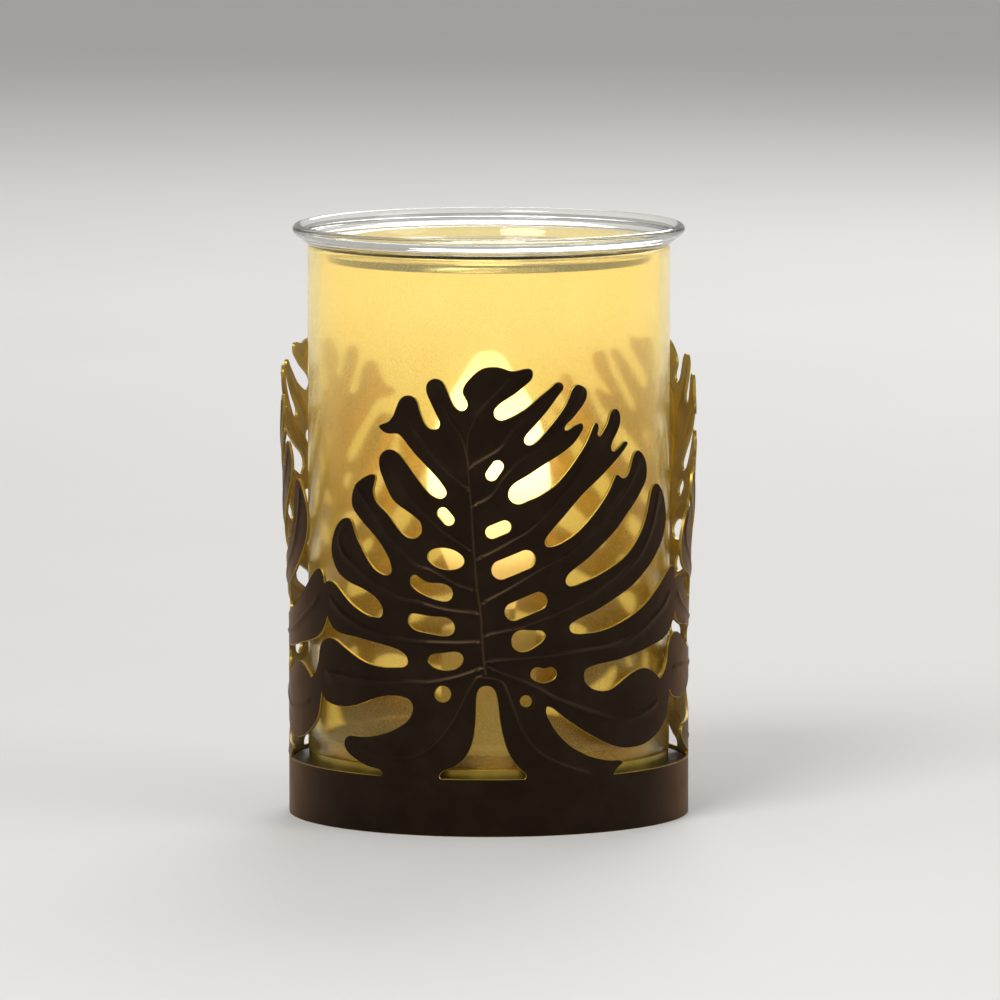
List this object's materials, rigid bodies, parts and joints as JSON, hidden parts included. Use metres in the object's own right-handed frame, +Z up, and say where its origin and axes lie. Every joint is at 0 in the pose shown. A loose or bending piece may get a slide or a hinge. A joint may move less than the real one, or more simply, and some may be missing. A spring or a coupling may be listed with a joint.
{
  "type": "wax melt warmer",
  "caption": "Electric wax melt warmer: pierced leaf sleeve with flared leaves round a frosted glass cylinder, a clear glass melt dish on top, and a small screw bulb inside.",
  "frame": {"origin": "on the warmer's axis, at the level of the surface that it stands on", "axes": "+Z up, -Y to the middle of the front leaf, +Y out of the back, where the cord inlet is"},
  "size_m": [0.119, 0.1178, 0.1683],
  "materials": {
    "bronze_paint": "satin, near-black dark bronze outside; gold paint inside",
    "base_paint": "satin",
    "cover_plastic": "matte",
    "screw_steel": "bright",
    "foot_rubber": "matte",
    "grommet_rubber": "matte",
    "gold_paint": "satin",
    "shield_aluminium": "bright",
    "frosted_glass": "frosted",
    "clear_glass": "polished",
    "holder_plastic": "moulded, heat resisting",
    "core_ceramic": "glazed",
    "contact_brass": "bright",
    "nipple_steel": "zinc plated",
    "tip_solder": "satin",
    "insulator_glass": "glossy black",
    "cap_nickel": "satin",
    "bulb_frost": "frosted inside",
    "stem_glass": "clear",
    "lead_wire": "bright",
    "filament_wire": "dark"
  },
  "bodies": {
    "base": {"base_pan": "base_paint", "bottom_cover": "cover_plastic", "cover_screws": "screw_steel", "feet": "foot_rubber", "cord_grommet": "grommet_rubber", "seat_ring": "gold_paint", "heat_shield": "shield_aluminium", "holder_body": "holder_plastic", "holder_core": "core_ceramic", "holder_shell": "contact_brass", "centre_contact": "contact_brass", "terminal_screws": "screw_steel", "holder_nipple": "nipple_steel", "nipple_washer": "nipple_steel", "nipple_nut": "nipple_steel"},
    "sleeve": {"leaf_sleeve": "bronze_paint"},
    "shade": {"shade_glass": "frosted_glass"},
    "dish": {"melt_dish": "clear_glass"},
    "bulb_carrier": {"bulb_tip": "tip_solder"},
    "bulb": {"bulb_insulator": "insulator_glass", "bulb_cap": "cap_nickel", "bulb_glass": "bulb_frost", "bulb_stem": "stem_glass", "bulb_leads": "lead_wire", "bulb_filament": "filament_wire"}
  },
  "joints": [
    {"name": "sleeve_lift", "type": "slide", "parent": "base", "child": "sleeve", "axis": [0, 0, 1], "range_m": [0, 0.175]},
    {"name": "shade_lift", "type": "slide", "parent": "base", "child": "shade", "axis": [0, 0, 1], "range_m": [0, 0.12]},
    {"name": "dish_lift", "type": "slide", "parent": "shade", "child": "dish", "axis": [0, 0, 1], "range_m": [0, 0.04]},
    {"name": "bulb_lift", "type": "slide", "parent": "base", "child": "bulb_carrier", "axis": [0, 0, 1], "range_m": [0, 0.0142]},
    {"name": "bulb_turn", "type": "hinge", "parent": "bulb_carrier", "child": "bulb", "pos_m": [0, 0, 0.0452], "axis": [0, 0, 1], "range_deg": [0, 1800]}
  ],
  "couplings": [
    {"joint": "bulb_lift", "follows": "bulb_turn", "m_per_rad": 0.00044882}
  ]
}
